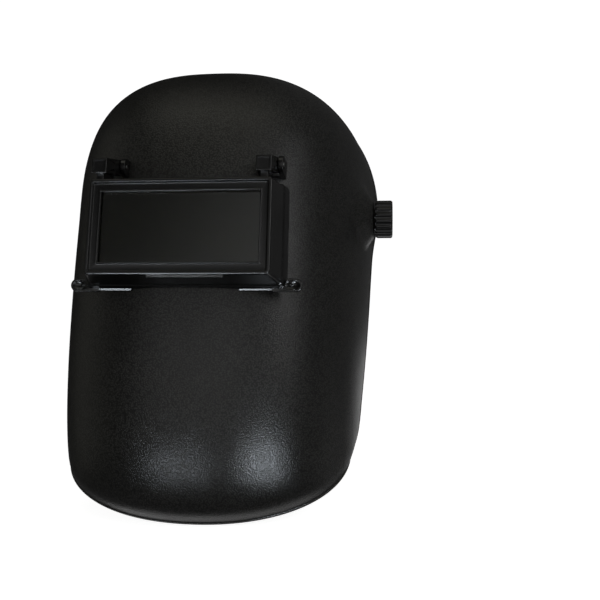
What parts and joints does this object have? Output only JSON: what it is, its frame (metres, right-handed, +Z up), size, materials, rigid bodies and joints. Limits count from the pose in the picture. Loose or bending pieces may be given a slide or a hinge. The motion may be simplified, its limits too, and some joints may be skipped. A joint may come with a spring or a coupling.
{
  "type": "welding helmet",
  "caption": "Black moulded welding helmet with a flip-up filter cover over a fixed clear lens, a side friction knob and tilting headgear.",
  "frame": {"origin": "middle of the axis the shell tilts about, between the two side pivots", "axes": "+Z up, the lens box faces -Y, +X is the wearer's left"},
  "size_m": [0.2495, 0.2619, 0.3187],
  "materials": {
    "shell_black": "pebble grained, satin",
    "box_black": "smooth, satin",
    "knob_black": "moulded, satin",
    "clear_glass": "polished",
    "dark_glass": "polished, nearly opaque",
    "steel": "plain",
    "strap_plastic": "moulded strap",
    "washer_fibre": "fibre",
    "pad_fabric": "soft cloth over foam"
  },
  "bodies": {
    "headgear": {"headband": "strap_plastic", "sweatband": "pad_fabric", "side_arm_left": "strap_plastic", "side_arm_right": "strap_plastic", "band_rivets": "steel", "slider_rivets": "steel", "crown_strap_left": "strap_plastic", "crown_strap_right": "strap_plastic", "tilt_stud_left": "steel", "tilt_stud_right": "steel", "tilt_washer_inner_left": "washer_fibre", "tilt_washer_inner_right": "washer_fibre", "tilt_washer_outer": "washer_fibre", "tilt_cap": "box_black"},
    "shell": {"shell": "shell_black", "lens_frame": "box_black", "frame_push_nuts": "steel", "clear_plate": "clear_glass", "clear_plate_spring": "steel", "hinge_bracket_left": "box_black", "hinge_bracket_right": "box_black", "bracket_screws": "steel", "hinge_pin_left": "steel", "hinge_pin_right": "steel", "hinge_leaf_left": "steel", "hinge_leaf_right": "steel"},
    "cover": {"flip_cover": "box_black", "cover_plate": "clear_glass", "filter_plate": "dark_glass", "filter_spring": "steel"},
    "tilt_knob": {"tilt_knob": "knob_black"},
    "nape": {"nape_band": "strap_plastic", "nape_pad": "pad_fabric", "ratchet_case": "strap_plastic", "ratchet_spring": "steel"},
    "ratchet_knob": {"ratchet_knob": "knob_black", "ratchet_pinion": "steel"}
  },
  "joints": [
    {"name": "helmet_tilt", "type": "hinge", "parent": "headgear", "child": "shell", "pos_m": [0, 0, 0], "axis": [-1, 0, 0], "range_deg": [0, 55]},
    {"name": "flip_front", "type": "hinge", "parent": "shell", "child": "cover", "pos_m": [0, -0.09285, 0.02789], "axis": [-1, 0, 0], "range_deg": [0, 95]},
    {"name": "tilt_friction_knob", "type": "hinge", "parent": "headgear", "child": "tilt_knob", "pos_m": [0.12, 0, 0], "axis": [1, 0, 0], "continuous": true},
    {"name": "band_size", "type": "slide", "parent": "headgear", "child": "nape", "axis": [0, -0.9848, 0.1736], "range_m": [0, 0.015]},
    {"name": "ratchet_turn", "type": "hinge", "parent": "nape", "child": "ratchet_knob", "pos_m": [0, 0.11249, -0.02085], "axis": [0, 0.9848, -0.1736], "range_deg": [0, 144]}
  ],
  "couplings": [
    {"joint": "ratchet_turn", "follows": "band_size", "rad_per_m": 166.67}
  ]
}
